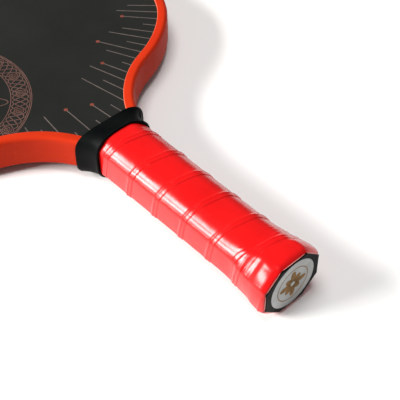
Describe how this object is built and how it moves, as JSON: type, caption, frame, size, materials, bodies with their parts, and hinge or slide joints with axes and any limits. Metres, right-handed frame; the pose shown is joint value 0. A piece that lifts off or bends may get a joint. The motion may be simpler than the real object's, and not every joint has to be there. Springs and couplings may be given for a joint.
{
  "type": "pickleball paddle",
  "caption": "Pickleball paddle with a honeycomb sandwich blade, orange edge guard, red wrapped octagonal handle, black rubber collar and capped butt end.",
  "frame": {"origin": "middle of the paddle's length and width, on the level of its lowest point, which is the flare of the grip", "axes": "+X across the paddle, +Y along it from the butt end to the tip of the blade, +Z out of the front face"},
  "size_m": [0.206, 0.403, 0.034],
  "materials": {
    "core_polypropylene": "translucent white moulded honeycomb",
    "film_adhesive": "cured adhesive film",
    "carbon_laminate": "woven fibre laminate, satin",
    "printed_film": "fine-textured matt film with copper line print",
    "guard_elastomer": "satin orange thermoplastic polyurethane",
    "mounting_tape": "double-sided foam tape",
    "rigid_foam": "rigid polyurethane foam with a moulded skin",
    "cap_moulding": "black moulded elastomer, satin",
    "staple_wire": "galvanised flat wire",
    "badge_plate": "printed silver-grey plastic disc",
    "grip_cushion": "felt-backed foam",
    "grip_skin": "glossy tacky polyurethane",
    "vinyl_tape": "black vinyl tape",
    "collar_rubber": "black moulded rubber, satin"
  },
  "bodies": {
    "root": {"honeycomb_core": "core_polypropylene", "front_adhesive_film": "film_adhesive", "back_adhesive_film": "film_adhesive", "front_face_sheet": "carbon_laminate", "back_face_sheet": "carbon_laminate", "front_graphic_film": "printed_film", "back_graphic_film": "printed_film", "edge_guard": "guard_elastomer", "edge_guard_tape": "mounting_tape", "front_handle_pallet": "rigid_foam", "back_handle_pallet": "rigid_foam", "front_pallet_glue": "film_adhesive", "back_pallet_glue": "film_adhesive", "butt_cap": "cap_moulding", "butt_cap_staples": "staple_wire", "butt_badge": "badge_plate", "badge_adhesive": "mounting_tape", "grip_backing": "grip_cushion", "grip_wrap": "grip_skin", "finishing_tape": "vinyl_tape", "rubber_collar": "collar_rubber"}
  },
  "joints": []
}
